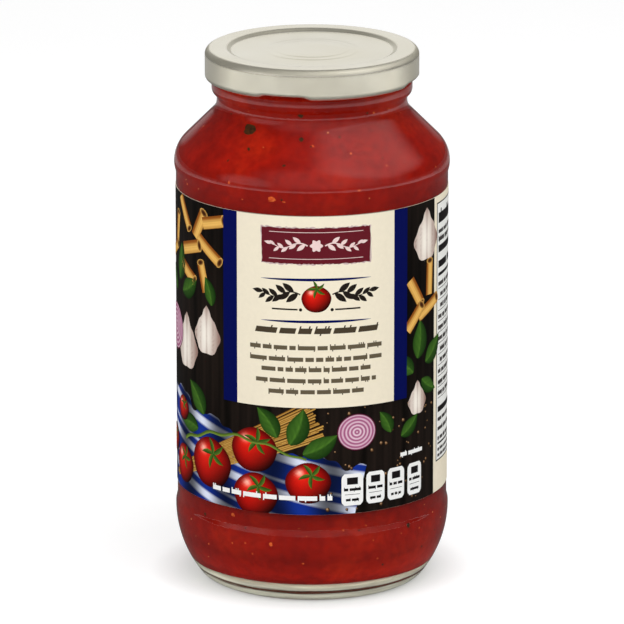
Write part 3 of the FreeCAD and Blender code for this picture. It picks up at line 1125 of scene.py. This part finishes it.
def badge(ink, s0, s1, rng):
    """A white rounded tablet with a heavy bar, two lines of type and a thin rule between them."""
    height = BADGE_TOP - BADGE_LOW

    def point(v, u):
        cut = 0.9 * (max(0, abs(v - 0.5) - 0.36) / 0.14) ** 2
        return (s0 + cut + (s1 - s0 - 2 * cut) * u, BADGE_LOW + height * v), linear(WHITE)

    def ends(share):
        middle, half = (s0 + s1) / 2, (s1 - s0) / 2
        return middle - share * half, middle + share * half

    ink.grid(12, 8, point)
    ink.layer += 1
    for share, low, high in ((0.5, 0.66, 0.88), (0.7, 0.34, 0.355)):
        start, end = ends(share)
        ink.rect(start, BADGE_LOW + low * height, end, BADGE_LOW + high * height, BLACK)
    for share, low, size in ((0.78, 0.46, 0.85), (0.6, 0.14, 0.75)):
        word_bars(ink, *ends(share), BADGE_LOW + low * height, size, BLACK, rng)
    ink.layer -= 1


PARAGRAPH = ((52.5, 20.4), (48.9, 20.4), (45.7, 16.7), (42.2, 18.5), (38.8, 14.5))  # t, half width


def print_front():
    """The panel with its stripes, the heading block, the drawing with its rules, the type and the badges."""
    rng = random.Random(5)
    for name, layer, half, colour in (
        ("label_panel", 60, STRIPE_HALF, NAVY),
        ("label_panel_cream", 62, PANEL_HALF, CREAM),
    ):
        panel = Print(name, layer)
        panel.rect(-half, PANEL_LOW, half, LABEL_HEIGHT, colour, PANEL_STEP)
        panel.done()

    block = Print("label_block", 64)
    rough_block(block, -16.8, 78.2, 16.8, 89.8, (196, 172, 170), rng, 0.25)
    block.layer = 66
    rough_block(block, -16.5, 78.5, 16.5, 89.5, MAROON, rng)
    block.layer = 68
    for side in (-1, 1):
        sprig(block, 2.6 * side, 84.1, 10.8, side, PINK, 8, 2.9, 0.8)
        block.rect(-14.2, 84 + 4.1 * side, 14.2, 84.18 + 4.1 * side, PINK)
    block.disc(0, 84.1, lambda a: 1.7 + 0.3 * math.cos(6 * a), 2, lambda x, y, rho: linear(PINK))
    block.done()

    title = Print("label_title", 64)
    tapered_rule(title, 73.6)
    tapered_rule(title, 60.6)
    for side in (-1, 1):
        sprig(title, 4.8 * side, 69.0, 11.4, side, FLOWER, 9, 4.2, 0.8)
        title.rect(5.6 * side, 64.1, 13.4 * side, 64.6, FLOWER)
        title.disc(4.7 * side, 64.3, lambda a: 0.5, 1, lambda x, y, rho: linear(FLOWER))
    tomato(title, 0, 67.6, 4.5)
    title.layer += 1
    calyx(title, 0.1, 70.6, 2.9, 0.35)
    title.layer -= 1
    word_bars(title, -18.8, 18.8, 56.8, 1.75, (70, 60, 46), rng, slant=0.3)
    for t, half in PARAGRAPH:
        word_bars(title, -half, half, t - 0.75, 1.3, PANEL_TYPE, rng)
    title.done()

    facts = Print("label_badges", 64)
    for s0, s1 in BADGES:
        badge(facts, s0, s1, rng)
    word_bars(facts, 27.5, 37.0, 15.6, 1.2, WHITE, rng)
    word_bars(facts, -34.5, 4.8, 4.6, 1.4, WHITE, rng)
    facts.done()


def facts_box():
    """The table of facts at the right: heavy bars, ruled rows, figures at the right-hand side."""
    rng = random.Random(23)
    box = Print("label_facts", 5)
    s0, s1, t0, t1, edge = 46.0, 80.0, 9.5, 91.0, 0.4
    left, right = s0 + 1.3, s1 - 1.3

    def type_line(start, end, t, height, colour=SMALL_TYPE, centre=True):
        word_bars(box, start, end, t, height, colour, rng, centre)

    box.rect(s0, t0, s1, t1, (236, 236, 232), PANEL_STEP)
    box.layer = 8
    for low, high in ((t0, t0 + edge), (t1 - edge, t1)):
        box.rect(s0, low, s1, high, BLACK)
    for start, end in ((s0, s0 + edge), (s1 - edge, s1)):
        box.rect(start, t0, end, t1, BLACK)
    for low, high in ((75.2, 77.4), (67.8, 68.8), (24.8, 26.6), (14.6, 15.2)):
        box.rect(left, low, right, high, BLACK)
    type_line(left, right, 84.4, 3.2, BLACK)
    type_line(left, right - 8, 81.2, 1.1)
    type_line(left, left + 14, 78.7, 1.3)
    type_line(right - 10, right, 78.7, 1.3)
    type_line(left, left + 14, 70.4, 2.2, BLACK, False)
    type_line(right - 7, right, 70.4, 3.0, BLACK)
    for k in range(11):
        t = 64.7 - 3.45 * k
        dent = 1.6 * (k in (1, 2, 6, 7))
        type_line(left + dent, left + 18 - dent, t, 1.2, centre=False)
        type_line(right - 4, right, t, 1.2)
        box.rect(left, t - 0.95, right, t - 0.75, BLACK)
    for t in (22.0, 19.0, 16.0):
        type_line(left, left + 13, t, 1.1, centre=False)
        type_line(right - 13, right, t, 1.1)
    for t in (12.6, 10.7):
        type_line(left, right, t, 0.85)
    box.done()


RIGHT_COLUMN = (88, 124)
LEFT_COLUMN = (-124.5, -90)


def back_text():
    """The made-up back: two columns of small type, a bar pattern and a heading block."""
    rng = random.Random(29)
    back = Print("label_back", 5)
    left, right = LEFT_COLUMN
    for start, end in ((82.5, 84.9), (-82.6, PICTURE_LEFT)):
        back.rect(start, 0, end, LABEL_HEIGHT, NAVY)
    for (start, end), rules in ((RIGHT_COLUMN, (84.6, 49.2)), (LEFT_COLUMN, (55.6, 27.4))):
        for t in rules:
            back.rect(start, t, end, t + 0.35, NAVY)
    word_bars(back, *RIGHT_COLUMN, 86.3, 2.0, NAVY, rng, centre=False)
    paragraph(back, *RIGHT_COLUMN, 80.6, 11, 2.75, 1.15, 14, rng)
    paragraph(back, *RIGHT_COLUMN, 45.0, 5, 2.75, 1.15, 9, rng)
    back.rect(90, 5, 122, 27, (240, 240, 238))
    back.layer = 8
    s = 93.0
    while s < 118.5:
        width = rng.choice((0.35, 0.35, 0.7, 1.05))
        back.rect(s, 7.5, s + width, 25, BLACK)
        s += width + rng.choice((0.4, 0.4, 0.8, 1.2))
    back.layer = 5
    rough_block(back, left, 80, right, 90.6, MAROON, rng)
    back.layer = 8
    for side in (-1, 1):
        sprig(back, -107.2 + 2.4 * side, 85.2, 11.4, side, PINK, 7, 2.5, 0.7)
    back.layer = 5
    paragraph(back, left, right, 74.5, 6, 3.0, 1.25, 11, rng)
    for k in range(4):
        back.disc(-122.8, 52.0 - 5.6 * k, lambda a: 1.1, 2, lambda x, y, rho: linear(MAROON))
        paragraph(back, -119.6, right, 51.7 - 5.6 * k, 2, 2.5, 1.15, 6, rng)
    back.done()


def back_garnish():
    """Two tomatoes with basil at the foot of the back."""
    garnish = Print("label_back_fruit", 9)
    for basil in ((-106, 14, 13, 7.5, 150), (-107, 13, 13, 7.0, 20), (-106, 16, 11, 6.5, 75)):
        leaf(garnish, *basil)
    for s, t, r, turn in ((-111, 12, 6.4, 0.3), (-101.5, 11, 6.0, 1.1)):
        garnish.layer += 1
        tomato(garnish, s, t, r)
        garnish.layer += 1
        calyx(garnish, s + 1, t + 2.4, r * 0.62, turn)
    garnish.done()


def make_print():
    Print.material = ink_material()
    for part in (print_picture, print_front, facts_box, back_text, back_garnish):
        part()


# --- Stage ---
CAMERA_DISTANCE = 1.8853
CAMERA_ELEVATION = 15.49  # degrees
CAMERA_AZIMUTH = -1.8  # degrees from the front to the right
AIM_HEIGHT = 0.0819
LENS = 355.4
FLOOR_REACH = 4000  # mm

# What gloss shows of the studio: soft lobes of light, each an axis, the angles where it is full and where it
# ends, in degrees, and its strength. The last one is the white backdrop.
SHEEN_FLOOR = 0.06
SHEEN_LOBES = (
    ((0.62, -0.12, 0.78), 18, 44, 0.85),
    ((-0.86, -0.50, 0.06), 8, 30, 0.62),
    ((0.86, -0.50, 0.06), 8, 30, 0.25),
    ((0.05, -1.0, 0.55), 14, 60, 0.38),
    ((0.0, 1.0, 0.28), 8, 27, 0.74),
)
WORLD_LIGHT = 0.42

LAMP_AIM = (0, 0, 0.1)
LAMPS = (  # name, place, size, power
    ("softbox_top", (0.25, -0.45, 1.3), (1.0, 0.8), 8),
    ("softbox_left", (-1.1, -0.85, 0.65), (0.6, 1.2), 11.5),
    ("softbox_right", (1.15, -0.85, 0.65), (0.6, 1.2), 8.5),
)


def make_camera():
    data = bpy.data.cameras.new("camera")
    data.lens = LENS
    data.sensor_width = 36
    a, e = math.radians(CAMERA_AZIMUTH), math.radians(CAMERA_ELEVATION)
    away = Vector((math.sin(a) * math.cos(e), -math.cos(a) * math.cos(e), math.sin(e)))
    aim = Vector((0, 0, AIM_HEIGHT))
    bpy.context.scene.camera = add_object("camera", data, aim + away * CAMERA_DISTANCE, aim)


def make_lamps():
    """Softboxes that light the jar and stay out of the gloss."""
    for name, place, size, power in LAMPS:
        data = bpy.data.lights.new(name, "AREA")
        data.shape = "RECTANGLE"
        data.size, data.size_y = size
        data.energy = power
        add_object(name, data, place, LAMP_AIM).visible_glossy = False


def make_world():
    """White to the camera and through glass, soft lobes in the gloss, and an even light for the rest."""
    world = bpy.data.worlds.new("studio")
    bpy.context.scene.world = world
    world.use_nodes = True
    w = Nodes(world.node_tree)
    background = w.tree.nodes["Background"].inputs
    w.put(background["Color"], (1, 1, 1, 1))
    direction = w.node("TexCoord").outputs["Generated"]
    sheen = SHEEN_FLOOR
    for axis, full, end, strength in SHEEN_LOBES:
        towards = {0: direction, 1: Vector(axis).normalized()}
        turn = w.node("VectorMath", towards, operation="DOT_PRODUCT").outputs["Value"]
        edges = math.cos(math.radians(end)), math.cos(math.radians(full))
        lobe = w.fit(turn, *edges, 0.0, strength, interpolation_type="SMOOTHSTEP")
        sheen = w.math("ADD", lobe, sheen)
    path = w.node("LightPath").outputs
    unseen = w.node("Mix", {0: path["Is Glossy Ray"], 2: WORLD_LIGHT, 3: sheen}).outputs[0]
    seen = w.math("MAXIMUM", path["Is Camera Ray"], path["Is Transmission Ray"])
    w.put(background["Strength"], w.node("Mix", {0: seen, 2: unseen, 3: 1.0}).outputs[0])


def make_floor():
    corners = [(x * FLOOR_REACH, y * FLOOR_REACH, 0) for x, y in ((-1, -1), (1, -1), (1, 1), (-1, 1))]
    floor = add_mesh("floor", corners, [(0, 1, 2, 3)], floor_material(), smooth=False)


make_camera()
make_glass()
make_band()
make_sauce()
make_bits()
make_lid()
make_paper()
make_print()
make_floor()
make_world()
make_lamps()

scene = bpy.context.scene
scene.view_settings.view_transform = "Standard"
